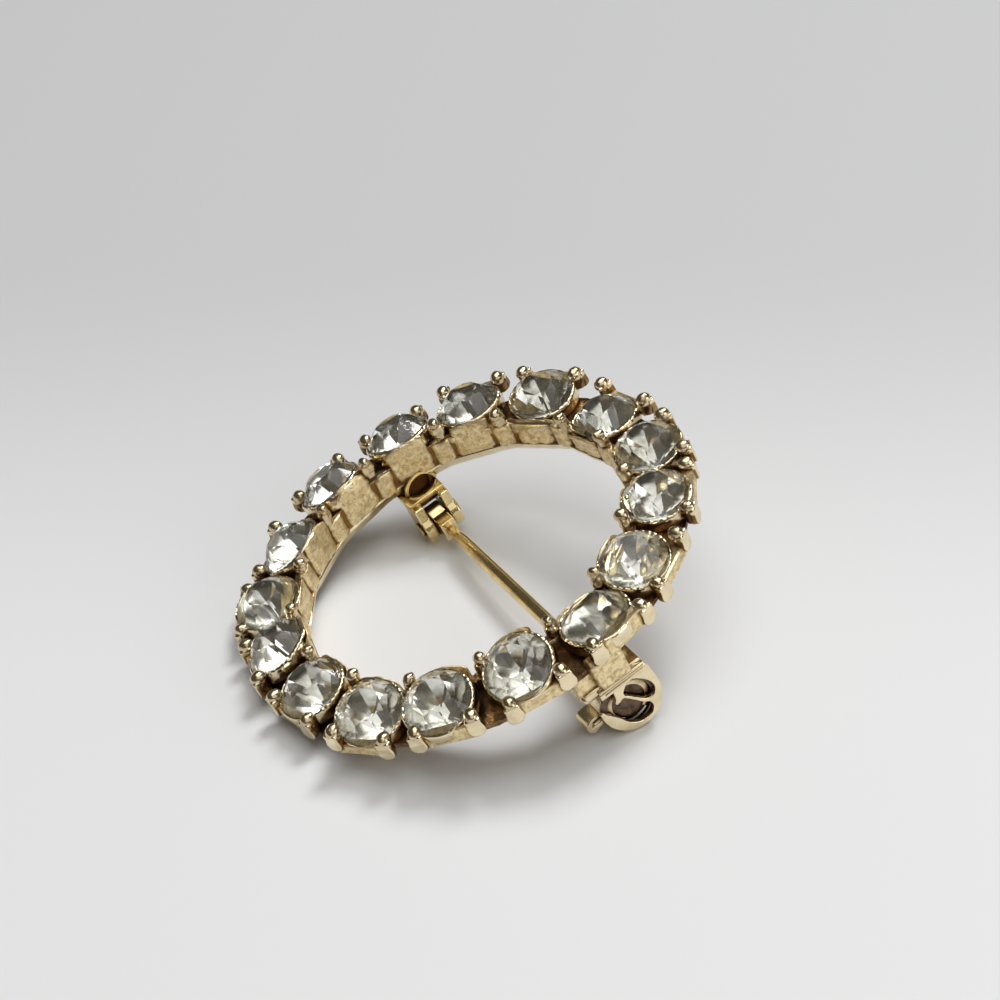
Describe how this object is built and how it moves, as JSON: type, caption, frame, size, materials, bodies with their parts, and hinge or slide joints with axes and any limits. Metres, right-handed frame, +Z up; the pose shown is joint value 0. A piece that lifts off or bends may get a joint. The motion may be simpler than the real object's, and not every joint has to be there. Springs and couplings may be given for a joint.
{
  "type": "circle brooch",
  "caption": "Open circle brooch of claw-set round clear stones in a gold-tone casting, with a hinged pin and a turning safety catch on the back.",
  "frame": {"origin": "centre of the bounding box on the ground the brooch lies on", "axes": "+Z up from the ground; the pin runs from its hinge at +Y to the catch at -Y; the side away from the pin is -X and lies low"},
  "size_m": [0.0338, 0.035, 0.0125],
  "materials": {
    "gold_tone_casting": "polished gold-tone plating over a cast ground",
    "gold_tone_wire": "polished gold-tone plating",
    "foiled_glass": "clear cut glass with a silvered back"
  },
  "bodies": {
    "brooch": {"ring_frame": "gold_tone_casting", "hinge_rivet": "gold_tone_wire", "stone_01": "foiled_glass", "stone_02": "foiled_glass", "stone_03": "foiled_glass", "stone_04": "foiled_glass", "stone_05": "foiled_glass", "stone_06": "foiled_glass", "stone_07": "foiled_glass", "stone_08": "foiled_glass", "stone_09": "foiled_glass", "stone_10": "foiled_glass", "stone_11": "foiled_glass", "stone_12": "foiled_glass", "stone_13": "foiled_glass", "stone_14": "foiled_glass", "stone_15": "foiled_glass", "stone_16": "foiled_glass"},
    "pin": {"pin_stem": "gold_tone_wire"},
    "barrel": {"catch_barrel": "gold_tone_wire"}
  },
  "joints": [
    {"name": "pin_swing", "type": "hinge", "parent": "brooch", "child": "pin", "pos_m": [0.00298, 0.01054, 0.00173], "axis": [0.9578, 0, 0.2874], "range_deg": [0, 100]},
    {"name": "barrel_turn", "type": "hinge", "parent": "brooch", "child": "barrel", "pos_m": [0.00286, -0.01537, 0.00214], "axis": [-0.0125, -0.999, 0.0418], "range_deg": [0, 90]}
  ]
}
